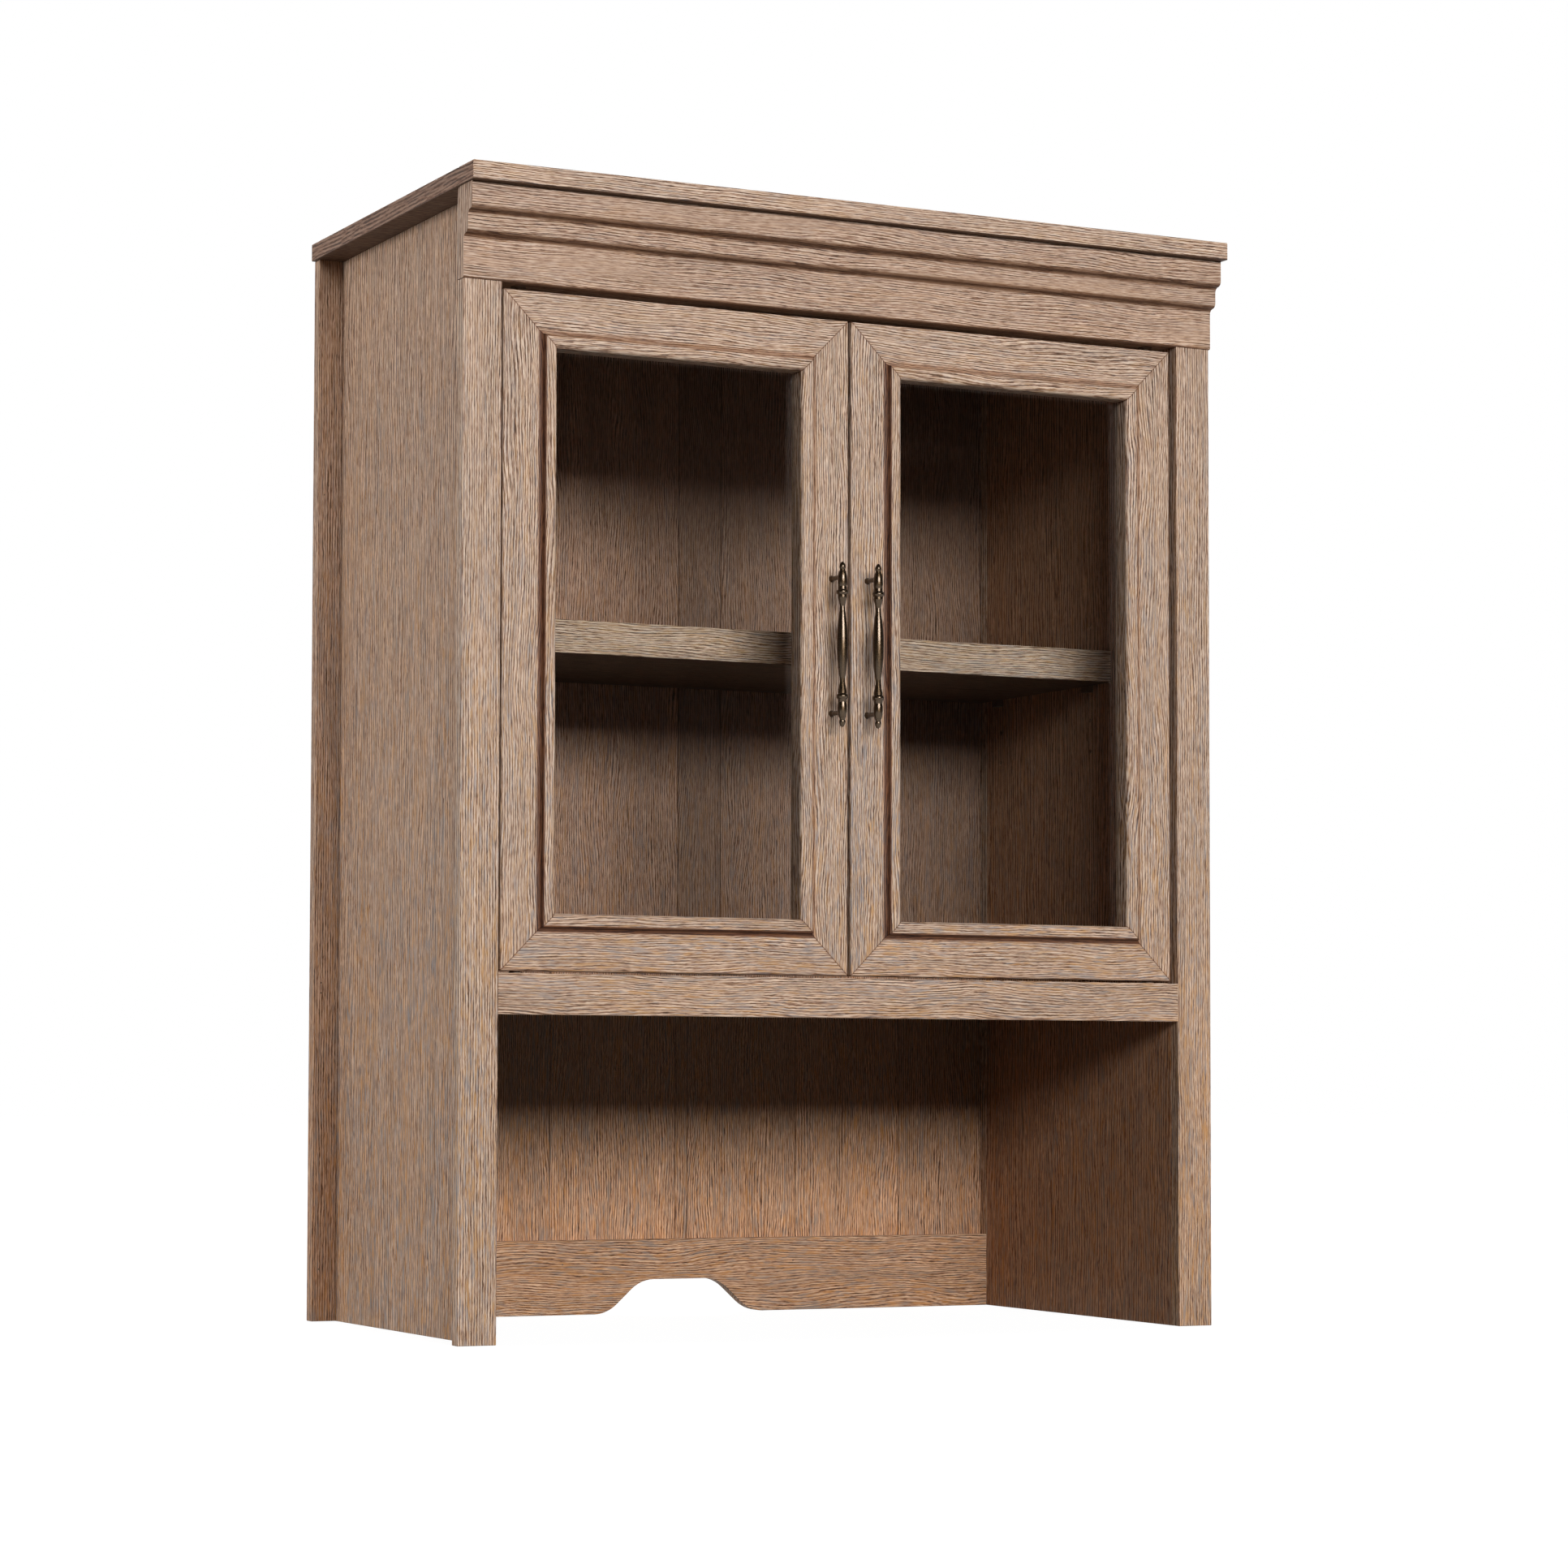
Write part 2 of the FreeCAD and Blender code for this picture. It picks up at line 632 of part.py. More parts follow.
pane_edge = frame_width - rabbet_width + glass_gap
pane = block(-door_out + pane_edge, -door_in - pane_edge, glass_front,
             glass_front + glass_thick, door_bottom + pane_edge, door_top - pane_edge)

frame_cuts = pull_screw_holes + pivot_pins
hinge_stile, top_rail, meeting_stile, bottom_rail = [
    drilled(member, frame_cuts) for member in mitred_members(frame_section())]
left_door = {
    "hinge_stile": hinge_stile,
    "top_rail": top_rail,
    "meeting_stile": meeting_stile,
    "bottom_rail": bottom_rail,
    "glass": pane,
    "glass_stops": Part.makeCompound(mitred_members(stop_section())),
    "pull": door_pull(),
    "pull_screws": Part.makeCompound(pull_screws),
    "pivot_pins": Part.makeCompound(pivot_pins),
    "strike": strike,
}
for name, shape in left_door.items():
    nodes["left_door_" + name] = shape
    nodes["right_door_" + name] = mirrored(shape)

os.makedirs("parts", exist_ok=True)
for name, shape in nodes.items():
    shape.exportStep("parts/" + name + ".step")
print(len(nodes), "nodes, pivots at x", round(pivot_x, 2), "y", round(pivot_y, 2))
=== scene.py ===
import math

import bpy
from mathutils import Matrix, Vector

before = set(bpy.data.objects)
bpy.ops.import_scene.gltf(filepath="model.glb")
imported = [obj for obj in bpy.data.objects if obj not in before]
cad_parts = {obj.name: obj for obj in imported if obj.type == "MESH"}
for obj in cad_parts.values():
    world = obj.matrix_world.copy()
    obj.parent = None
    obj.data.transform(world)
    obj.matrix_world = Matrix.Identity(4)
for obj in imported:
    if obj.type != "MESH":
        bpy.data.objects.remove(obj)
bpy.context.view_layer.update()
scene = bpy.context.scene
print("hutch loaded:", len(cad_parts), "boards and fittings")


# camera, standing low at the left front corner

cameraSetup = {
    "lens": 88.916,  # mm, on a 36 mm sensor
    "shift": (0.1377, 0.059),  # sideways and up; the upright edges stay nearly parallel
    "place": (-1.7730, -3.3765, 0.2498),
    "yaw": 24.776,  # degrees to the right of straight back
    "pitch": 2.823,
    "roll": 0.272,
    "reach": 100,  # metres to the far clipping plane
}


def placeCamera(setup):
    yaw, pitch, roll = (math.radians(setup[key]) for key in ("yaw", "pitch", "roll"))
    back, aside = math.cos(yaw), math.sin(yaw)
    ahead = Vector((aside * math.cos(pitch), back * math.cos(pitch), math.sin(pitch)))
    level = Vector((back, -aside, 0))
    upright = level.cross(ahead)
    right = level * math.cos(roll) + upright * math.sin(roll)
    up = upright * math.cos(roll) - level * math.sin(roll)
    data = bpy.data.cameras.new("studioCamera")
    data.lens = setup["lens"]
    data.shift_x, data.shift_y = setup["shift"]
    data.clip_end = setup["reach"]
    camera = bpy.data.objects.new("studioCamera", data)
    turn = Matrix((right, up, -ahead)).transposed().to_4x4()
    camera.matrix_world = Matrix.Translation(setup["place"]) @ turn
    scene.collection.objects.link(camera)
    scene.camera = camera


placeCamera(cameraSetup)
print("camera placed")


# small helpers for the materials

def linear(hexColour):  # "#b49b88" as written in sRGB, to the linear values that shaders use
    parts = [int(hexColour[i:i + 2], 16) / 255 for i in (1, 3, 5)]
    parts = [p / 12.92 if p <= 0.04045 else ((p + 0.055) / 1.055) ** 2.4 for p in parts]
    return (*parts, 1.0)


def addNode(tree, kind, settings):
    # settings: the node's own by name, its sockets by name or number, a ramp's colours as stops
    node = tree.nodes.new("ShaderNode" + kind)
    sockets = {}
    for key, value in settings.items():
        if key == "stops":
            points = node.color_ramp.elements
            while len(points) < len(value):
                points.new(0.5)
            for point, (position, colour) in zip(points, value):
                point.position, point.color = position, linear(colour)
        elif isinstance(key, str) and hasattr(node, key):
            setattr(node, key, value)
        else:
            sockets[key] = value
    for key, value in sockets.items():
        if isinstance(value, bpy.types.Node):
            value = value.outputs[0]
        if isinstance(value, bpy.types.NodeSocket):
            tree.links.new(value, node.inputs[key])
        else:
            node.inputs[key].default_value = value
    return node


def newMaterial(name):
    material = bpy.data.materials.new(name)
    material.use_nodes = True
    material.node_tree.nodes.clear()
    return material, material.node_tree


def dress(node, material):
    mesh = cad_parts[node].data
    mesh.materials.clear()
    mesh.materials.append(material)


# the lamps and the white studio around them

studio = {
    "middle": (0.0, 0.0, 0.6),  # what the lamps look at
    "ambient": ("#ffe2c6", 0.012),
    "white": "#ffffff",
    "whiteEdge": 0.15,  # how soft the change from the dim room to the white behind the hutch is
    "floorSize": 30,
    "floorColour": "#46403a",  # what the floor throws back at the hutch
    "shadowColour": "#606060",  # lit and shaded by the lamps, under the floor's own white
    "floorShow": 0.95,  # the floor's own white, which leaves the shadow faint
    "fade": (0.6, 2.6),  # metres from the hutch over which the shadow ends in white
}

# level on a surface that faces the lamp squarely, compass angle from the front (left is negative)
# and rise in degrees, the rest in metres
lamps = {
    "keyRight": dict(level=0.51, compass=5, rise=16.7, distance=6.5, width=2.4, height=1.6),
    "keyLeft": dict(level=0.49, compass=-13, rise=16.7, distance=6.5, width=2.4, height=1.6),
    "sideLeft": dict(level=0.48, compass=-100, rise=11, distance=5.0, width=1.6, height=1.6),
    "sideRight": dict(level=0.45, compass=100, rise=20, distance=5.0, width=1.6, height=1.6),
    "backFill": dict(level=0.60, compass=170, rise=25, distance=5.0, width=2.0, height=1.6),
}


def hangLamp(name, level, compass, rise, distance, width, height):
    compass, rise = math.radians(compass), math.radians(rise)
    flat = math.cos(rise)
    way = Vector((math.sin(compass) * flat, -math.cos(compass) * flat, math.sin(rise)))
    data = bpy.data.lights.new(name, "AREA")
    data.shape = "RECTANGLE"
    data.size, data.size_y = width, height
    data.energy = level * math.pi ** 2 * distance ** 2  # so that level 1 shows colours as written
    lamp = bpy.data.objects.new(name, data)
    lamp.location = Vector(studio["middle"]) + way * distance
    lamp.rotation_euler = (-way).to_track_quat("-Z", "Y").to_euler()
    lamp.visible_transmission = False  # a pane's shadow already lets this lamp through, once
    scene.collection.objects.link(lamp)


def seenDirectly(tree, mirrorShare=1.0):  # 1 for what shows straight, through glass or in a mirror
    path = addNode(tree, "LightPath", {})
    share = path.outputs["Is Camera Ray"]
    for kind in ("Is Transmission Ray", "Is Glossy Ray"):
        share = addNode(tree, "Math", {"operation": "MAXIMUM", 0: share, 1: path.outputs[kind]})
    # a ray that left a mirror sees the white only where mirrorShare allows it
    unmirrored = addNode(tree, "Math", {
        "operation": "LESS_THAN", 0: path.outputs["Glossy Depth"], 1: 0.5})
    allowed = addNode(tree, "Math", {"operation": "MAXIMUM", 0: unmirrored, 1: mirrorShare})
    share = addNode(tree, "Math", {"operation": "MULTIPLY", 0: share, 1: allowed})
    # light that has left a matt surface gets only the room's own level, behind glass too
    first = addNode(tree, "Math", {
        "operation": "LESS_THAN", 0: path.outputs["Diffuse Depth"], 1: 0.5})
    return addNode(tree, "Math", {"operation": "MULTIPLY", 0: share, 1: first})


def paintRoom(setup):
    world = bpy.data.worlds.new("whiteStudio")
    world.use_nodes = True
    scene.world = world
    tree = world.node_tree
    tree.nodes.clear()
    # a mirror sees white behind the hutch and the dim room in front of it
    direction = addNode(tree, "TexCoord", {})
    depth = addNode(tree, "SeparateXYZ", {"Vector": direction.outputs["Generated"]})
    behind = addNode(tree, "MapRange", {
        0: depth.outputs["Y"], 1: -setup["whiteEdge"], 2: setup["whiteEdge"]})
    path = addNode(tree, "LightPath", {})
    indoors = addNode(tree, "Math", {
        "operation": "MINIMUM",
        0: path.outputs["Is Transmission Ray"], 1: path.outputs["Diffuse Depth"]})
    tint, strength = setup["ambient"]
    # a pane lets the room's light through once, straight, so it adds none by bending it
    level = addNode(tree, "MapRange", {0: indoors, 3: strength, 4: 0.0})
    dim = addNode(tree, "Background", {"Color": linear(tint), "Strength": level})
    white = addNode(tree, "Background", {"Color": linear(setup["white"]), "Strength": 1.0})
    mix = addNode(tree, "MixShader", {0: seenDirectly(tree, behind), 1: dim, 2: white})
    addNode(tree, "OutputWorld", {"Surface": mix})


def layFloor(setup):
    bpy.ops.object.select_all(action="DESELECT")
    bpy.ops.mesh.primitive_plane_add(size=setup["floorSize"], location=(0, 0, 0))
    floor = bpy.context.object
    floor.name = "studioFloor"
    material, tree = newMaterial("studioFloor")
    matt = addNode(tree, "BsdfDiffuse", {"Color": linear(setup["floorColour"])})
    faint = addNode(tree, "BsdfDiffuse", {"Color": linear(setup["shadowColour"])})
    place = addNode(tree, "TexCoord", {})
    away = addNode(tree, "VectorMath", {"operation": "LENGTH", 0: place.outputs["Object"]})
    near, far = setup["fade"]
    strength = addNode(tree, "MapRange", {
        0: away.outputs["Value"], 1: near, 2: far, 3: setup["floorShow"], 4: 1.0})
    glow = addNode(tree, "Emission", {"Color": linear(setup["white"]), "Strength": strength})
    shown = addNode(tree, "AddShader", {0: faint, 1: glow})
    mix = addNode(tree, "MixShader", {0: seenDirectly(tree), 1: matt, 2: shown})
    addNode(tree, "OutputMaterial", {"Surface": mix})
    floor.data.materials.append(material)


for name, values in lamps.items():
    hangLamp(name, **values)
paintRoom(studio)
layFloor(studio)
scene.view_settings.view_transform = "Standard"
print("studio lit")


# patterns in millimetres

noiseSpan = (0.3, 0.7)  # nearly all of a noise's values lie between these
facing = {"end": 0.8, "under": -0.5, "outer": 0.5}  # the normals from which a face counts as one
grainTurns = {  # brings the grain upright
    "Z": (0, 0, 0), "X": (0, -math.pi / 2, 0), "Y": (math.pi / 2, 0, 0),
}


def grainPoint(tree, grain, place):  # millimetres, with the grain along the third number
    coordinates = addNode(tree, "TexCoord", {})
    return addNode(tree, "Mapping", {
        "Vector": coordinates.outputs["Object"], "Scale": (1000, 1000, 1000),
        "Rotation": grainTurns[grain], "Location": place})


def longNoise(tree, point, width, length, detail):  # noise that is stretched along the grain
    sized = addNode(tree, "VectorMath", {
        "operation": "MULTIPLY", 0: point, 1: (1 / width, 1 / width, 1 / length)})
    return addNode(tree, "TexNoise", {
        "Vector": sized, "Scale": 1.0, "Detail": detail, "Roughness": 0.55})


def swayed(tree, point, width, length, reach):  # a pattern pushed sideways by up to about reach
    drift = longNoise(tree, point, width, length, 1.0).outputs["Color"]
    centred = addNode(tree, "VectorMath", {"operation": "SUBTRACT", 0: drift, 1: (0.5, 0.5, 0.5)})
    return addNode(tree, "VectorMath", {
        "operation": "MULTIPLY_ADD", 0: centred, 1: (2 * reach, 2 * reach, 0), 2: point})


# the printed planks of the back panels, on hardboard whose outer face is bare: brown, dull and
# finely mottled to the eye

planks = {
    "jump": (53, 31, 417),  # mm that the pattern moves on at every seam
    "toneTurn": (2.4, -0.9),  # radians per plank and for the first, of the sine that sets its tone
    "seamHalf": 0.0005,  # metres, half of the dark line's width
    "seam": "#857060",
    "bare": ("#7b5c44", "#94745a"),
}


def planked(tree, point, seams, plankTonesAndShade):
    # the pattern's point, the share of dark line and the tone of each plank
    here = addNode(tree, "TexCoord", {})
    x = addNode(tree, "SeparateXYZ", {"Vector": here.outputs["Object"]}).outputs["X"]
    line, count = 0.0, 0.0
    for seam in seams:
        past = addNode(tree, "Math", {"operation": "GREATER_THAN", 0: x, 1: seam / 1000})
        point = addNode(tree, "VectorMath", {
            "operation": "MULTIPLY_ADD", 0: past, 1: planks["jump"], 2: point})
        count = addNode(tree, "Math", {"operation": "ADD", 0: past, 1: count})
        near = addNode(tree, "Math", {
            "operation": "COMPARE", 0: x, 1: seam / 1000, 2: planks["seamHalf"]})
        line = addNode(tree, "Math", {"operation": "MAXIMUM", 0: near, 1: line})
    step, start = planks["toneTurn"]
    turn = addNode(tree, "Math", {"operation": "MULTIPLY_ADD", 0: count, 1: step, 2: start})
    swing = addNode(tree, "Math", {"operation": "SINE", 0: turn})
    tone = addNode(tree, "Math", {"operation": "MULTIPLY_ADD", 0: swing, 1: plankTonesAndShade, 2: 1.0})
    return point, line, tone


# the doors' frames: painted shade on the raised bead's slope and on its faces that look left or
# down, and dark joint lines in the mitred corners

doorFrame = {
    "slope": (0.0382, 0.0032),  # metres in from the edge: the bead's outer slope, and half of it
    "turned": (-0.03, -0.15),  # normals of faces that look left or down, which get painted shade: first to darken, dark
    "mitre": (0.0003, 0.0011),  # metres from a joint over which its line fades
    "tintsAndPaintedShade": ("#dccbbe", "#a08675", "#b8a294"),  # painted shade on the slope and on its faces that look left or down, and the colour of the mitres' joint lines
}


def doorBox(side):  # a door's middle and half size, from its two stiles
    stiles = [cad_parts[side + "_door_" + part + "_stile"] for part in ("hinge", "meeting")]
    corners = [corner for stile in stiles for corner in stile.bound_box]
    low, high = (Vector([pick(values) for values in zip(*corners)]) for pick in (min, max))
    return (low + high) / 2, (high - low) / 2


def frameShadeAndJoints(tree, side):  # the shares of painted shade on the bead's slope and on its faces that look left or down, and of the mitre lines
    here = addNode(tree, "TexCoord", {})
    middle, half = doorBox(side)
    out = addNode(tree, "VectorMath", {
        "operation": "SUBTRACT", 0: here.outputs["Object"], 1: middle})
    folded = addNode(tree, "VectorMath", {"operation": "ABSOLUTE", 0: out})
    inward = addNode(tree, "VectorMath", {"operation": "SUBTRACT", 0: half, 1: folded})
    edge = addNode(tree, "SeparateXYZ", {"Vector": inward})
    nearest = addNode(tree, "Math", {
        "operation": "MINIMUM", 0: edge.outputs["X"], 1: edge.outputs["Z"]})
    centre, reach = doorFrame["slope"]
    slope = addNode(tree, "Math", {"operation": "COMPARE", 0: nearest, 1: centre, 2: reach})
    normal = addNode(tree, "SeparateXYZ", {"Vector": here.outputs["Normal"]})
    lower = addNode(tree, "Math", {
        "operation": "MINIMUM", 0: normal.outputs["X"], 1: normal.outputs["Z"]})
    starts, full = doorFrame["turned"]
    turned = addNode(tree, "MapRange", {0: lower, 1: starts, 2: full})
    shadedFaces = addNode(tree, "Math", {"operation": "MULTIPLY", 0: slope, 1: turned})
    apart = addNode(tree, "Math", {
        "operation": "SUBTRACT", 0: edge.outputs["X"], 1: edge.outputs["Z"]})
    size = addNode(tree, "Math", {"operation": "ABSOLUTE", 0: apart})
    starts, gone = doorFrame["mitre"]
    mitre = addNode(tree, "MapRange", {0: size, 1: starts, 2: gone, 3: 1.0, 4: 0.0})
    return slope, shadedFaces, mitre


# oak laminate: paper printed as weathered oak and pressed with open pores, over board. It gives
# the eye pale brown wood with short wavy dark lines along the grain, soft orange and grey clouds
# and a dull sheen. Oak's own pores are about 0.3 mm wide, too fine to show, so the lines and
# pores are drawn several times as coarse.

oak = {
    # from deep in a line to the ridge between two
    "tones": ((0.0, "#4e382a"), (0.26, "#8c6b56"), (0.55, "#b99c86"), (1.0, "#dcc6b2")),
    # dark lines: their fleck, mm from one to the next, the direction across them, their strength
    "lines": ((0, 1.7, (1, 0.35, 0), 0.55), (2, 2.1, (0.8, -0.6, 0), 0.55)),
    "lineFrom": (0.35, 0.65),  # noise where a line starts to show and is full
    "faintest": 0.08,  # what is left of a line elsewhere
    "pore": (1.1, 10),  # mm wide and long
    "poreStrength": 0.24,
    "sway": (42, 150),  # mm across and along over which the lines swing to a side and back
    "drift": (8, 55, 0.9),  # the same for small changes of their spacing, and how far those reach
    "wiggle": (2.4, 5.0, 0.33),
    "fleck": (1.8, 20),  # mm wide and long, one dark line or fleck of colour
    "fleckTints": ("#c2925a", "#8f8d90"),  # orange and blue grey
    "fleckFrom": (0.76, 0.98, 0.7),  # noise where a fleck starts and is full, and how full
    "fleckHeights": (1.0, 0.2, 0.35),  # metres up where they are few and many, and the few's share
    "cloud": (12, 170),
    "cloudTones": (0.88, 1.12),
    "calm": (34, 260),  # areas where the lines fade
    "calmFrom": (0.5, 0.66),
    "calmTone": "#bfa38b",
    "calmToneShare": 0.4,
    "foot": "#fff2e4",  # painted warm light thrown up by the floor: the wood turns a little warmer towards the floor
    "footHeights": (0.45, 0.1),  # metres
    "roughness": (0.52, 0.68),  # on a ridge and in a line
    "relief": 0.10,  # mm from a line's bottom to its ridge
    "bump": 0.5,
    "ior": 1.5,
    "specular": 0.3,  # paper under lacquer shines less than bare plastic
}


def grainHeight(tree, fine, fleck, calmShare, contrast):  # 0 deep in a line to 1 on a ridge
    pore = longNoise(tree, fine, *oak["pore"], 1.0)
    least, most = noiseSpan
    height = addNode(tree, "MapRange", {
        0: pore, 1: least, 2: most, 3: 0.5 - oak["poreStrength"], 4: 0.5 + oak["poreStrength"]})
    starts, full = oak["lineFrom"]
    for part, step, across, strength in oak["lines"]:
        along = addNode(tree, "VectorMath", {"operation": "DOT_PRODUCT", 0: fine, 1: across})
        turn = addNode(tree, "Math", {
            "operation": "MULTIPLY", 0: along.outputs["Value"], 1: 2 * math.pi / step})
        wave = addNode(tree, "Math", {"operation": "SINE", 0: turn})
        lively = addNode(tree, "MapRange", {
            0: fleck.outputs[part], 1: starts, 2: full,
            3: oak["faintest"], 4: strength * contrast})
        eased = addNode(tree, "Math", {"operation": "MULTIPLY", 0: lively, 1: calmShare})
        left = addNode(tree, "Math", {"operation": "SUBTRACT", 0: lively, 1: eased})
        height = addNode(tree, "Math", {
            "operation": "MULTIPLY_ADD", 0: wave, 1: left, 2: height})
    return addNode(tree, "Clamp", {"Value": height})


def flecked(tree, wood, fleck, clouds, upright, cloud):  # with orange and grey flecks
    high, low, least = oak["fleckHeights"]
    most = addNode(tree, "MapRange", {0: upright, 1: high, 2: low, 3: least * cloud, 4: cloud})
    starts, full, amount = oak["fleckFrom"]
    for part, tint in enumerate(oak["fleckTints"]):
        both = addNode(tree, "Math", {
            "operation": "MULTIPLY_ADD", 0: clouds.outputs[part], 1: 0.5, 2: fleck.outputs[part]})
        share = addNode(tree, "MapRange", {0: both, 1: starts, 2: full, 3: 0.0, 4: amount})
        share = addNode(tree, "Math", {
            "operation": "MULTIPLY", 0: share, 1: most, "use_clamp": True})
        wood = addNode(tree, "Mix", {
            "data_type": "RGBA", 0: share, 6: wood, 7: linear(tint)}).outputs[2]
    return wood


def oakLaminate(name, grain="Z", place=(0, 0, 0), sway=5.0, contrast=1.0, cloud=1.0, calm=0.25,
                toneAndPaintedShade="#ffffff", endGrain=None, endShade="#ffffff", under=None, seams=(),
                plankTonesAndShade=0.08, foot=1.0, doorSide=None):
    material, tree = newMaterial(name)
    point = grainPoint(tree, grain, place)
    here = addNode(tree, "TexCoord", {})
    normal = addNode(tree, "SeparateXYZ", {"Vector": here.outputs["Normal"]})
    if endGrain:  # the left and right ends carry their own strip
        other = grainPoint(tree, endGrain, place)
        size = addNode(tree, "Math", {"operation": "ABSOLUTE", 0: normal.outputs["X"]})
        onEnd = addNode(tree, "Math", {
            "operation": "GREATER_THAN", 0: size, 1: facing["end"]})
        point = addNode(tree, "Mix", {
            "data_type": "VECTOR", 0: onEnd, 4: point, 5: other}).outputs[1]
    plankTone = 1.0
    if seams:
        point, seamLine, plankTone = planked(tree, point, seams, plankTonesAndShade)
    bent = swayed(tree, point, *oak["sway"], sway)
    spaced = swayed(tree, bent, *oak["drift"])
    fine = swayed(tree, spaced, *oak["wiggle"])
    fleck = addNode(tree, "SeparateXYZ", {
        "Vector": longNoise(tree, fine, *oak["fleck"], 1.0).outputs["Color"]})
    clouds = addNode(tree, "SeparateXYZ", {
        "Vector": longNoise(tree, bent, *oak["cloud"], 3.0).outputs["Color"]})
    areas = addNode(tree, "SeparateXYZ", {
        "Vector": longNoise(tree, bent, *oak["calm"], 2.0).outputs["Color"]})
    starts, full = oak["calmFrom"]
    calmShare = addNode(tree, "MapRange", {
        0: areas.outputs[0], 1: starts, 2: full, 3: 0.0, 4: calm})
    height = grainHeight(tree, fine, fleck, calmShare, contrast)

    # colour: the lines, flecks, calm areas, broad changes of tone
    wood = addNode(tree, "ValToRGB", {"Fac": height, "stops": oak["tones"]})
    upright = addNode(tree, "SeparateXYZ", {"Vector": here.outputs["Object"]}).outputs["Z"]
    wood = flecked(tree, wood, fleck, clouds, upright, cloud)
    plain = addNode(tree, "Math", {
        "operation": "MULTIPLY", 0: calmShare, 1: oak["calmToneShare"]})
    wood = addNode(tree, "Mix", {
        "data_type": "RGBA", 0: plain, 6: wood, 7: linear(oak["calmTone"])}).outputs[2]
    least, most = noiseSpan
    darkest, lightest = oak["cloudTones"]
    broad = addNode(tree, "MapRange", {
        0: clouds.outputs[2], 1: least, 2: most, 3: darkest, 4: lightest})
    tone = addNode(tree, "Math", {"operation": "MULTIPLY", 0: broad, 1: plankTone})
    wood = addNode(tree, "VectorMath", {"operation": "SCALE", 0: wood, "Scale": tone})

    # the board's own tone, on some boards inside the case partly painted shade; painted warm floor
    # light; darker left and right ends; printed seams; painted shade on the door beads and on
    # faces that look down; the mitres' joint lines
    # painted warm light from the floor, stronger lower down
    high, low = oak["footHeights"]
    paintedWarmth = addNode(tree, "MapRange", {0: upright, 1: high, 2: low, 4: foot})
    tintsAndPaintedShade = [(1.0, toneAndPaintedShade), (paintedWarmth, oak["foot"])]
    if endGrain:
        tintsAndPaintedShade.append((onEnd, endShade))
    if seams:
        tintsAndPaintedShade.append((seamLine, planks["seam"]))
    # painted shade on the door bead's slope and its faces that look left or down, and the mitres'
    # joint lines
    if doorSide:
        tintsAndPaintedShade += zip(frameShadeAndJoints(tree, doorSide), doorFrame["tintsAndPaintedShade"])
    # painted shade on faces that look down
    if under:
        shadedBelow = addNode(tree, "Math", {
            "operation": "LESS_THAN", 0: normal.outputs["Z"], 1: facing["under"]})
        tintsAndPaintedShade.append((shadedBelow, under))
    for share, multiplyColour in tintsAndPaintedShade:
        wood = addNode(tree, "Mix", {
            "data_type": "RGBA", "blend_type": "MULTIPLY",
            0: share, 6: wood, 7: linear(multiplyColour)}).outputs[2]
    if seams:  # only the inner face of the hardboard is printed
        outside = addNode(tree, "Math", {
            "operation": "GREATER_THAN", 0: normal.outputs["Y"], 1: facing["outer"]})
        brown, pale = planks["bare"]
        bare = addNode(tree, "Mix", {
            "data_type": "RGBA", 0: fleck.outputs[1], 6: linear(brown), 7: linear(pale)})
        wood = addNode(tree, "Mix", {
            "data_type": "RGBA", 0: outside, 6: wood, 7: bare.outputs[2]}).outputs[2]

    smooth, rough = oak["roughness"]
    gloss = addNode(tree, "MapRange", {0: height, 3: rough, 4: smooth})
    bump = addNode(tree, "Bump", {
        "Strength": oak["bump"], "Distance": oak["relief"] / 1000, "Height": height})
    shader = addNode(tree, "BsdfPrincipled", {
        "Base Color": wood, "Roughness": gloss, "Normal": bump,
        "IOR": oak["ior"], "Specular IOR Level": oak["specular"]})
    addNode(tree, "OutputMaterial", {"Surface": shader})
    return material


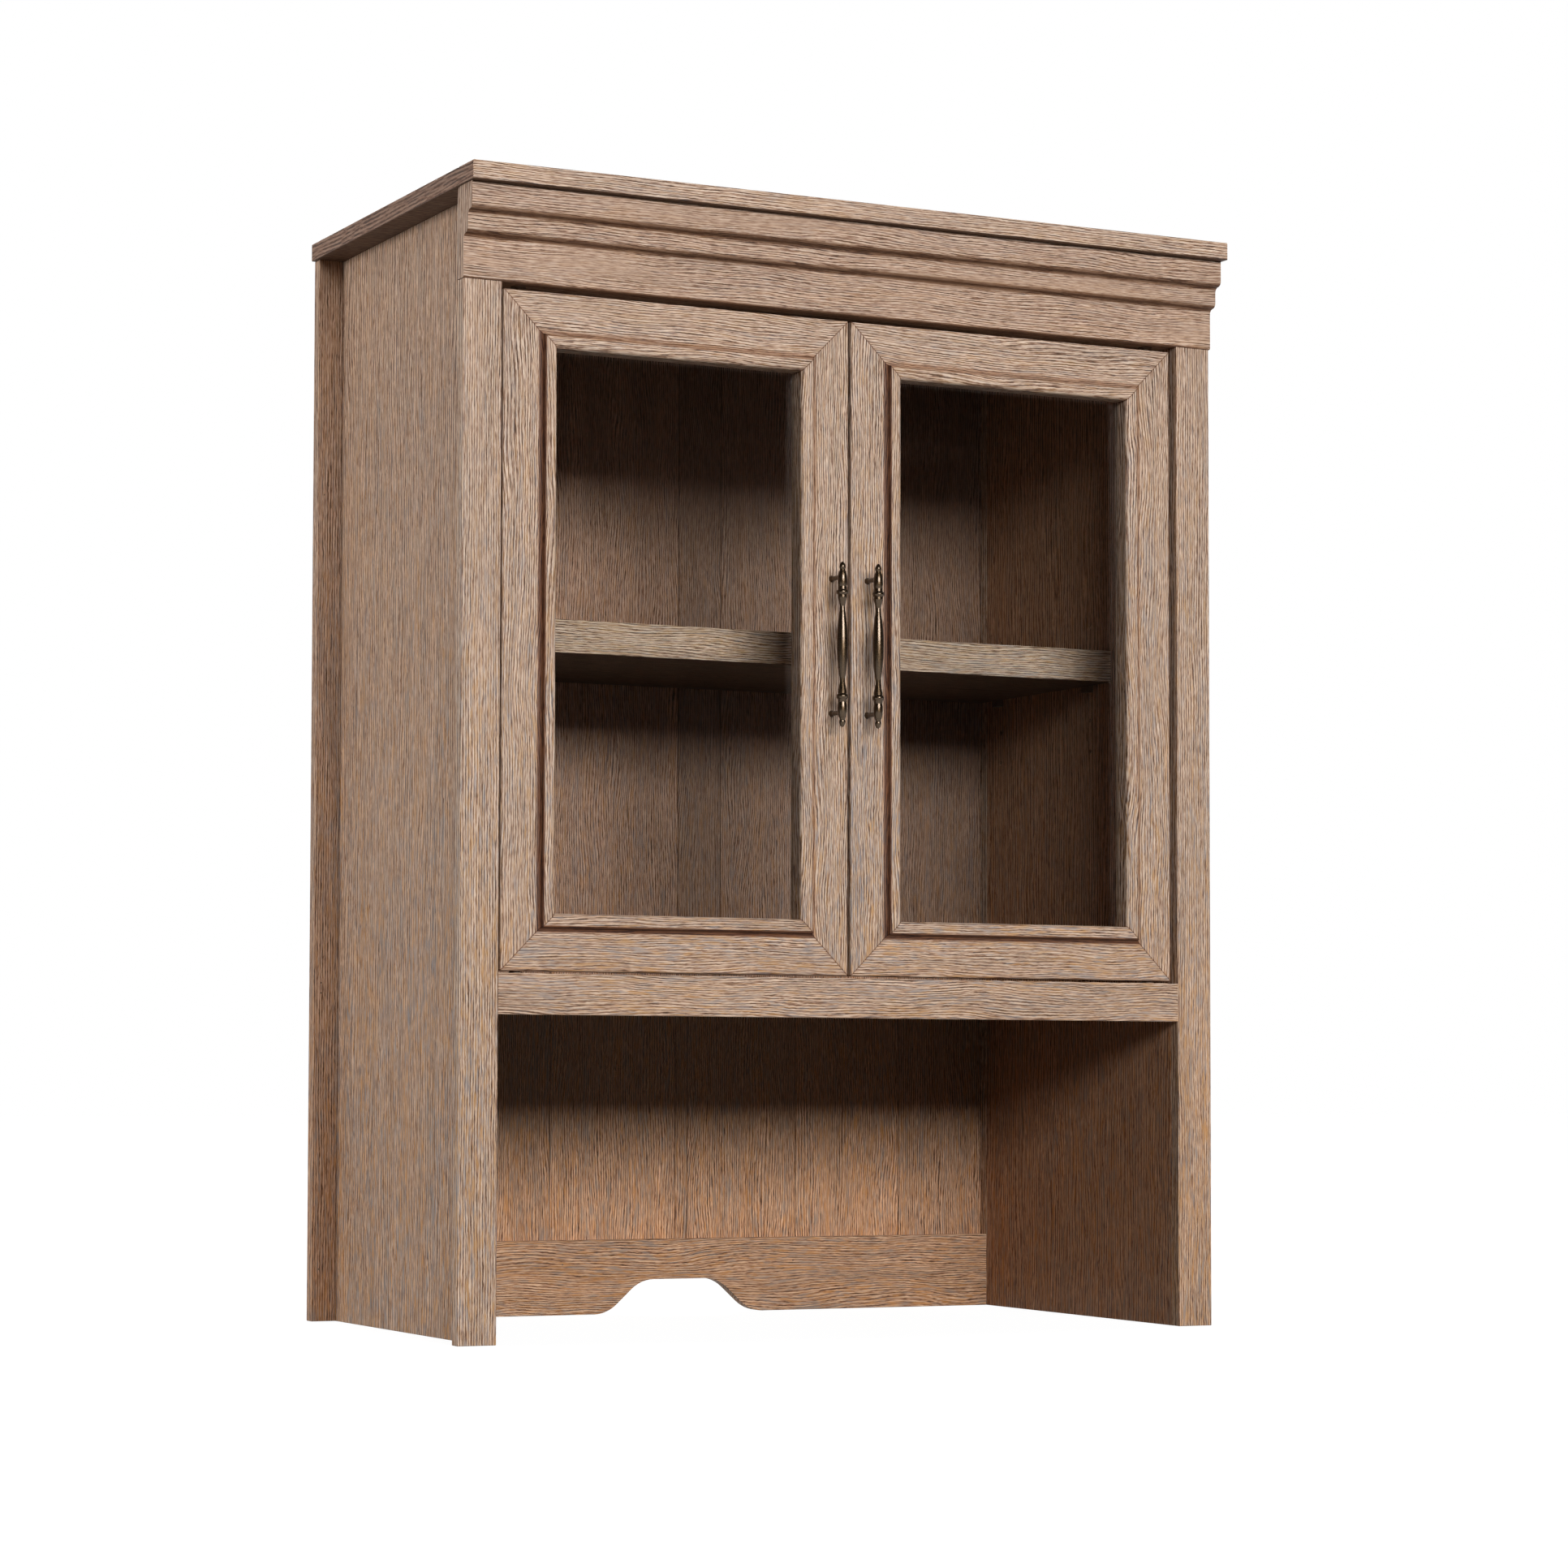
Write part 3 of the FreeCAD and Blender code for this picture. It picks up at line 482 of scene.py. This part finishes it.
# place picks another part of the print for each board; sway is how far its lines swing, in mm
boards = {
    # the top is darker underneath as painted shade
    "top_panel": dict(grain="X", place=(40, 10, 300), sway=4, endGrain="Y",
                      endShade="#ad998d", under="#8c7c6f"),
    # the moulding's downward faces are darker as painted shade
    "crown_moulding": dict(grain="X", place=(0, 300, 900), sway=6, contrast=0.85, cloud=0.8,
                           calm=0.7, endGrain="Z", toneAndPaintedShade="#f6f2f0", under="#c4b3a5"),
    "crown_backing_rail": dict(grain="X", place=(90, 0, 0), contrast=0.6),
    # its colour is darkened here as painted shade: the rail sits back under the crown
    "catch_rail": dict(grain="X", place=(190, 0, 0), contrast=0.6, toneAndPaintedShade="#8a7a6e"),
    # its colour is darkened here as painted shade inside the case
    "cabinet_floor": dict(grain="X", place=(290, 0, 0), contrast=0.6, toneAndPaintedShade="#b5a599"),
    "floor_front_rail": dict(grain="X", place=(330, 70, 500), sway=8, contrast=1.25),
    # the shelf is darker underneath as painted shade
    "adjustable_shelf": dict(grain="X", place=(120, 400, 60), sway=6, contrast=0.95,
                             under="#7c6c5e"),
    "apron_board": dict(grain="X", place=(470, 30, 700), sway=9, contrast=1.15,
                        toneAndPaintedShade="#faf1e8"),
    "left_front_post": dict(place=(0, 0, 0), sway=3, foot=0.3),
    "right_front_post": dict(place=(70, 0, 600), sway=3),
    "left_side_panel": dict(place=(0, 90, 200), sway=4, contrast=1.25, cloud=1.5,
                            toneAndPaintedShade="#fff6ee", foot=0.2),
    # its colour is darkened and warmed here as painted dim, warm light inside the open bay
    "right_side_panel": dict(place=(50, 190, 900), sway=4, contrast=1.1, cloud=1.2,
                             toneAndPaintedShade="#f2ddcd"),
    "left_rear_stile": dict(place=(20, 0, 800), sway=3, contrast=1.2, toneAndPaintedShade="#f2e6dc"),
    "right_rear_stile": dict(place=(90, 0, 100), sway=3),
    "left_door_hinge_stile": dict(place=(300, 0, 350), sway=8, doorSide="left"),
    "left_door_meeting_stile": dict(place=(410, 0, 150), sway=8, contrast=1.2, doorSide="left"),
    "left_door_top_rail": dict(grain="X", place=(500, 0, 150), sway=8, doorSide="left"),
    "left_door_bottom_rail": dict(grain="X", place=(600, 0, 150), sway=7, doorSide="left"),
    "right_door_hinge_stile": dict(place=(720, 0, 750), sway=8, doorSide="right"),
    "right_door_meeting_stile": dict(place=(830, 0, 550), sway=8, contrast=1.25, cloud=1.2,
                                     doorSide="right"),
    "right_door_top_rail": dict(grain="X", place=(900, 0, 950), sway=9, doorSide="right"),
    "right_door_bottom_rail": dict(grain="X", place=(990, 0, 850), sway=7, doorSide="right"),
    "left_door_glass_stops": dict(place=(15, 0, 0), contrast=0.6),
    "right_door_glass_stops": dict(place=(35, 0, 0), contrast=0.6),
    # its colour is darkened here, partly as painted shade inside the case; its stronger plank
    # tones are partly the print and partly painted shade of the door stiles
    "upper_back_panel": dict(place=(0, 60, 0), sway=9, contrast=0.9, toneAndPaintedShade="#decdc7",
                             seams=(-140.5, 2.5, 51.6, 141, 264), plankTonesAndShade=0.2),
    # its colour is warmed and slightly darkened here, partly as painted shade inside the open bay
    "lower_back_panel": dict(place=(60, 60, 300), sway=8, contrast=1.15, toneAndPaintedShade="#fcefe2",
                             seams=(-140.5, 1, 15, 141, 264)),
}

for node, settings in boards.items():
    dress(node, oakLaminate("oakLaminate_" + node, **settings))
print("oak laminate on", len(boards), "boards")


# float glass, tempered: a clear level sheet that shows only by its faint sharp mirror images and
# a trace of green

pane = {
    "film": 60,  # mm, the size of the faint cloudiness
    "tints": ((0.3, "#fcfdfc"), (0.7, "#f6f8f7")),
    "through": "#f6f8f7",  # for light on its way to and from the boards behind
    "ior": 1.5,
}


def floatGlass(setup):
    material, tree = newMaterial("floatGlass")
    point = grainPoint(tree, "Z", (0, 0, 0))
    film = longNoise(tree, point, setup["film"], setup["film"], 3.0)
    tint = addNode(tree, "ValToRGB", {"Fac": film, "stops": setup["tints"]})
    shown = addNode(tree, "BsdfPrincipled", {
        "Base Color": tint, "Roughness": 0.0, "IOR": setup["ior"], "Transmission Weight": 1.0})
    clear = addNode(tree, "BsdfTransparent", {"Color": linear(setup["through"])})
    path = addNode(tree, "LightPath", {})
    # light that the boards behind a pane send out or receive goes straight through it
    straight = addNode(tree, "Math", {
        "operation": "MAXIMUM",
        0: path.outputs["Is Shadow Ray"], 1: path.outputs["Is Diffuse Ray"]})
    mix = addNode(tree, "MixShader", {0: straight, 1: shown, 2: clear})
    addNode(tree, "OutputMaterial", {"Surface": mix})
    return material


glass = floatGlass(pane)
for node in ("left_door_glass", "right_door_glass"):
    dress(node, glass)
print("panes glazed")


# metals and small fittings: one tone that gives way to a second in small patches. Their real
# grit, 0.1 to 0.3 mm, is too fine to show, so it is drawn as coarse as grit says, in mm.

fittingSurface = {
    "patchEdge": 0.15,  # noise over which a patch of the second tone sets in
    "glossChange": 0.06,  # roughness, up and down from patch to patch
    "relief": 0.0001,  # metres
    "bump": 0.2,
    "coatRoughness": 0.18,
}


def plainFinish(name, colour, worn, roughness, grit, metallic=0.0, wornFrom=0.55, coat=0.0):
    material, tree = newMaterial(name)
    patches = longNoise(tree, grainPoint(tree, "Z", (0, 0, 0)), grit, grit, 3.0)
    wear = addNode(tree, "MapRange", {
        0: patches, 1: wornFrom, 2: wornFrom + fittingSurface["patchEdge"]})
    tone = addNode(tree, "Mix", {
        "data_type": "RGBA", 0: wear, 6: linear(colour), 7: linear(worn)})
    least, most = noiseSpan
    change = fittingSurface["glossChange"]
    gloss = addNode(tree, "MapRange", {
        0: patches, 1: least, 2: most, 3: roughness - change, 4: roughness + change})
    bump = addNode(tree, "Bump", {
        "Strength": fittingSurface["bump"], "Distance": fittingSurface["relief"],
        "Height": patches})
    shader = addNode(tree, "BsdfPrincipled", {
        "Base Color": tone.outputs[2], "Roughness": gloss, "Metallic": metallic, "Normal": bump,
        "Coat Weight": coat, "Coat Roughness": fittingSurface["coatRoughness"]})
    addNode(tree, "OutputMaterial", {"Surface": shader})
    return material


finishes = {
    # cast, plated and lacquered: dark warm metal with a soft narrow highlight
    "antiqueBronze": dict(colour="#493927", worn="#6f573f", roughness=0.3, grit=1.2,
                          metallic=1.0, wornFrom=0.66, coat=0.6),
    # electroplated: pale grey metal with a slightly cloudy shine
    "zincPlatedSteel": dict(colour="#b9bcc0", worn="#9a9da3", roughness=0.35, grit=1.5,
                            metallic=1.0),
    # dipped paint on pins and nails: dull dots in the wood's own tone
    "brownPaintedSteel": dict(colour="#6f5947", worn="#655141", roughness=0.5, grit=3.0),
    # moulded: an even brown with a soft, waxy shine
    "mouldedNylon": dict(colour="#6f5947", worn="#655141", roughness=0.45, grit=4.0),
    # moulded with a fine texture: duller and greyer than the nylon
    "mouldedAbs": dict(colour="#6a5a4c", worn="#5c4e42", roughness=0.5, grit=4.0),
    # milled dowels: plain pale wood with small darker flecks
    "milledBeech": dict(colour="#d8b48c", worn="#c49b70", roughness=0.6, grit=2.0),
}

fittings = {
    "antiqueBronze": ("left_door_pull", "right_door_pull"),
    "zincPlatedSteel": ("left_door_pull_screws", "right_door_pull_screws", "left_door_strike",
                        "right_door_strike", "cam_discs", "cam_bolts", "crown_screws"),
    "brownPaintedSteel": ("left_door_pivot_pins", "right_door_pivot_pins", "shelf_pins",
                          "back_nails"),
    "mouldedNylon": ("pivot_bushes",),
    "mouldedAbs": ("catch_magnets",),
    "milledBeech": ("dowels",),
}
for name, nodes in fittings.items():
    finish = plainFinish(name, **finishes[name])
    for node in nodes:
        dress(node, finish)
print("fittings dressed")
